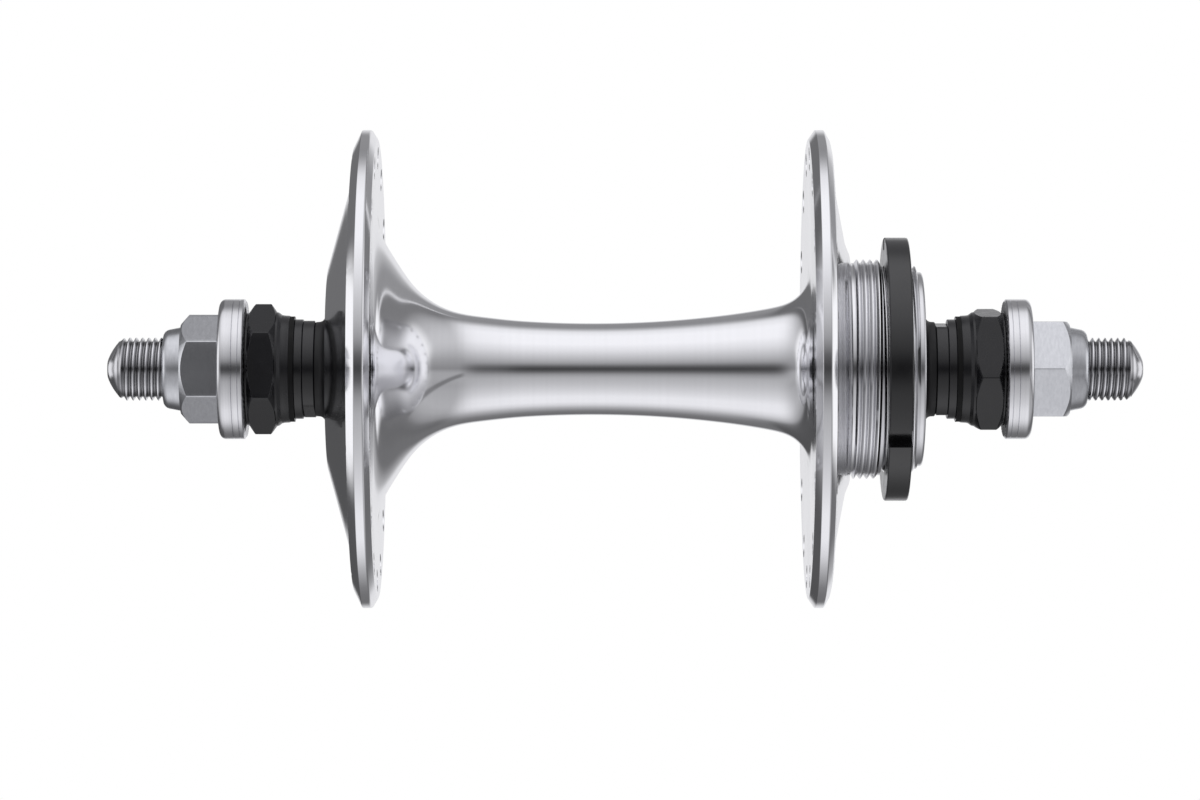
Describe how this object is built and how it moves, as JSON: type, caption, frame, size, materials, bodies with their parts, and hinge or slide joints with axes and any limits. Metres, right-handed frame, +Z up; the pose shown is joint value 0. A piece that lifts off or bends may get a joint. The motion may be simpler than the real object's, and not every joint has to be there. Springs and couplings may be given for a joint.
{
  "type": "rear track hub",
  "caption": "Large-flange rear track hub with a waisted polished shell, black lockring, locknuts and cones, and hexagonal axle nuts with captive round washers.",
  "frame": {"origin": "on the axle's centre line, midway between the outer faces of the two locknuts, which is also the middle of the axle", "axes": "+X along the axle towards the drive side, with the sprocket thread and the lockring; +Y forward, away from the picture's viewer; +Z up"},
  "size_m": [0.1642, 0.0758, 0.0758],
  "materials": {
    "shell_alloy": "polished",
    "axle_steel": "rolled thread, bright",
    "cone_steel": "black oxide, satin",
    "seal_rubber": "smooth, matt",
    "spacer_steel": "black oxide, satin",
    "locknut_steel": "black oxide, satin",
    "bearing_steel": "ground and polished",
    "cap_steel": "bright nickel plate",
    "lockring_steel": "black oxide, satin",
    "washer_steel": "bright nickel plate",
    "nut_steel": "bright zinc plate"
  },
  "bodies": {
    "axle_assembly": {"axle": "axle_steel", "cone_left": "cone_steel", "cone_right": "cone_steel", "seal_left": "seal_rubber", "seal_right": "seal_rubber", "spacer_left": "spacer_steel", "spacer_right": "spacer_steel", "locknut_left": "locknut_steel", "locknut_right": "locknut_steel"},
    "shell": {"hub_shell": "shell_alloy", "bearing_cup_left": "bearing_steel", "bearing_cup_right": "bearing_steel", "dust_cap_left": "cap_steel", "dust_cap_right": "cap_steel"},
    "ball_set_left": {"bearing_balls_left": "bearing_steel"},
    "ball_set_right": {"bearing_balls_right": "bearing_steel"},
    "ring": {"lockring": "lockring_steel"},
    "washer_left": {"nut_washer_left": "washer_steel"},
    "washer_right": {"nut_washer_right": "washer_steel"},
    "nut_left": {"axle_nut_left": "nut_steel"},
    "nut_right": {"axle_nut_right": "nut_steel"}
  },
  "joints": [
    {"name": "hub_spin", "type": "hinge", "parent": "axle_assembly", "child": "shell", "pos_m": [0, 0, 0], "axis": [1, 0, 0], "continuous": true},
    {"name": "ball_orbit_left", "type": "hinge", "parent": "axle_assembly", "child": "ball_set_left", "pos_m": [0, 0, 0], "axis": [1, 0, 0], "continuous": true},
    {"name": "ball_orbit_right", "type": "hinge", "parent": "axle_assembly", "child": "ball_set_right", "pos_m": [0, 0, 0], "axis": [1, 0, 0], "continuous": true},
    {"name": "lockring_travel", "type": "slide", "parent": "shell", "child": "ring", "axis": [1, 0, 0], "range_m": [0, 0.045]},
    {"name": "washer_travel_left", "type": "slide", "parent": "axle_assembly", "child": "washer_left", "axis": [-1, 0, 0], "range_m": [0, 0.0222]},
    {"name": "washer_travel_right", "type": "slide", "parent": "axle_assembly", "child": "washer_right", "axis": [1, 0, 0], "range_m": [0, 0.0222]},
    {"name": "nut_turn_left", "type": "hinge", "parent": "washer_left", "child": "nut_left", "pos_m": [-0.067, 0, 0], "axis": [-1, 0, 0], "range_deg": [0, 7960]},
    {"name": "nut_turn_right", "type": "hinge", "parent": "washer_right", "child": "nut_right", "pos_m": [0.067, 0, 0], "axis": [1, 0, 0], "range_deg": [0, 7960]}
  ],
  "couplings": [
    {"joint": "ball_orbit_left", "follows": "hub_spin", "ratio": 0.6157},
    {"joint": "ball_orbit_right", "follows": "hub_spin", "ratio": 0.6157},
    {"joint": "washer_travel_left", "follows": "nut_turn_left", "m_per_rad": 0.00015915},
    {"joint": "washer_travel_right", "follows": "nut_turn_right", "m_per_rad": 0.00015915}
  ]
}
